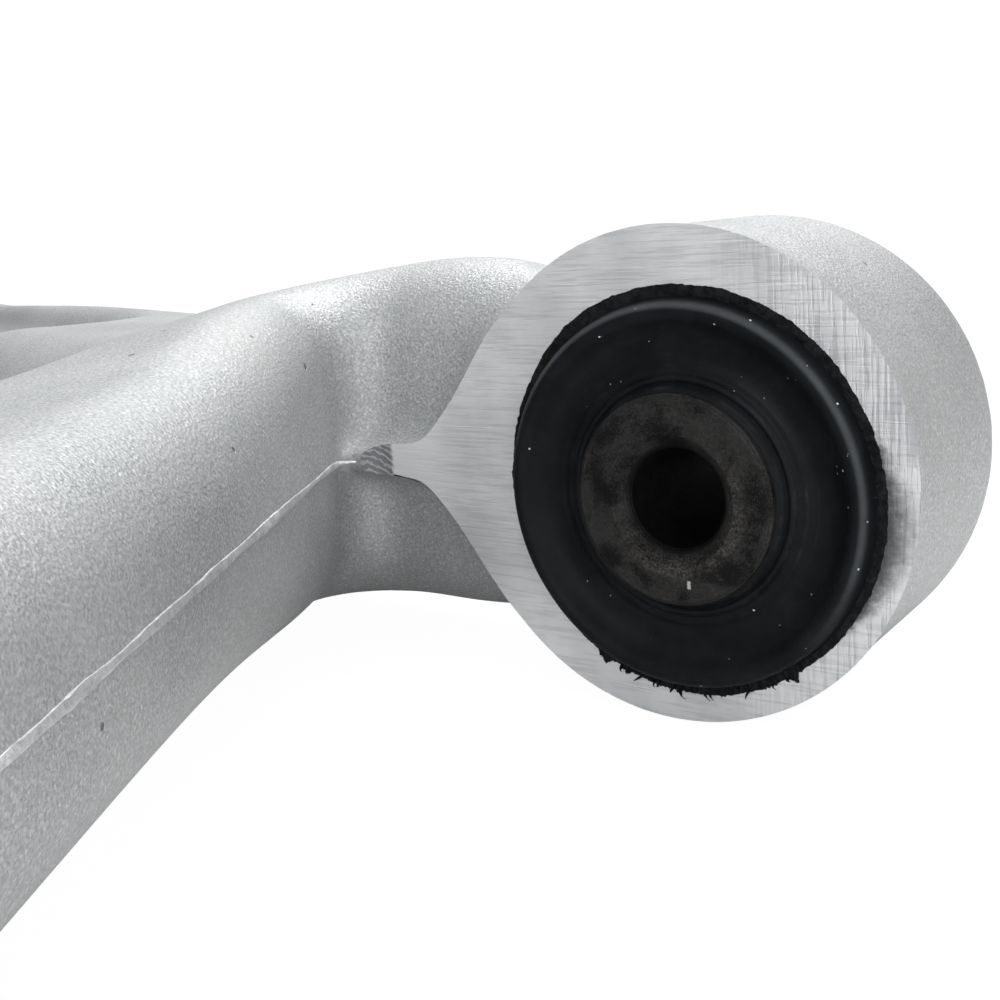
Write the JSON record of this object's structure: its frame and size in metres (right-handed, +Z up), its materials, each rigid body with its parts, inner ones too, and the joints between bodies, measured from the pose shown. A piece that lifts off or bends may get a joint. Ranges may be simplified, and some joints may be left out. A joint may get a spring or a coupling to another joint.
{
  "type": "control arm",
  "caption": "L-shaped forged aluminium lower control arm with a cross-axis front bush, an upright rear bush and a booted ball joint at the outer end",
  "frame": {"origin": "centre of the front bush bore, half way along it", "axes": "+Y along the front bush bore, towards the front of the car; +X inboard, towards the subframe; +Z up, the way the ball stud points"},
  "size_m": [0.447, 0.412, 0.1074],
  "materials": {
    "forged_aluminium": "shot-blasted forged aluminium, milled on the bush faces",
    "sleeve_steel": "drawn steel tube",
    "bush_rubber": "moulded natural rubber, soft sheen",
    "phosphated_steel": "dark phosphated steel, worn on the end faces",
    "housing_steel": "turned steel with a grey zinc coating",
    "bearing_plastic": "natural acetal",
    "spring_steel": "oiled spring steel",
    "stud_steel": "ground alloy steel",
    "boot_rubber": "moulded chloroprene",
    "nut_steel": "zinc-plated steel",
    "insert_nylon": "blue nylon"
  },
  "bodies": {
    "arm": {"arm_forging": "forged_aluminium", "front_bush_outer_sleeve": "sleeve_steel", "front_bush_rubber": "bush_rubber", "rear_bush_outer_sleeve": "sleeve_steel", "rear_bush_rubber": "bush_rubber", "ball_joint_housing": "housing_steel", "ball_bearing_shell": "bearing_plastic", "thrust_plate": "bearing_plastic", "preload_spring": "spring_steel", "cover_plate": "housing_steel", "housing_circlip": "spring_steel", "dust_boot": "boot_rubber", "boot_lower_ring": "spring_steel"},
    "front_sleeve": {"front_bush_inner_sleeve": "phosphated_steel"},
    "rear_sleeve": {"rear_bush_inner_sleeve": "phosphated_steel"},
    "swing_pad": {"thrust_pad": "bearing_plastic"},
    "seal_collar": {"boot_seal_collar": "housing_steel", "boot_upper_ring": "spring_steel"},
    "stud": {"ball_stud": "stud_steel", "stud_nut": "nut_steel", "nut_locking_insert": "insert_nylon"}
  },
  "joints": [
    {"name": "front_bush_twist", "type": "hinge", "parent": "arm", "child": "front_sleeve", "pos_m": [0, 0, 0], "axis": [0, 1, 0], "range_deg": [-18, 18], "stiffness_Nm_per_rad": 60, "deforming": ["front_bush_rubber"]},
    {"name": "rear_bush_swing", "type": "hinge", "parent": "arm", "child": "rear_sleeve", "pos_m": [0.037, -0.262, 0.002], "axis": [-0.1398, 0.9901, -0.0076], "range_deg": [-18, 18], "stiffness_Nm_per_rad": 90, "deforming": ["rear_bush_rubber"]},
    {"name": "ball_swing_across", "type": "hinge", "parent": "arm", "child": "swing_pad", "pos_m": [-0.338, 0.078, 0.003], "axis": [1, 0, 0], "range_deg": [-18, 18], "deforming": ["dust_boot"]},
    {"name": "ball_swing_along", "type": "hinge", "parent": "swing_pad", "child": "seal_collar", "pos_m": [-0.338, 0.078, 0.003], "axis": [0, 1, 0], "range_deg": [-18, 18]},
    {"name": "ball_spin", "type": "hinge", "parent": "seal_collar", "child": "stud", "pos_m": [-0.338, 0.078, 0.003], "axis": [0, 0, 1], "continuous": true}
  ]
}
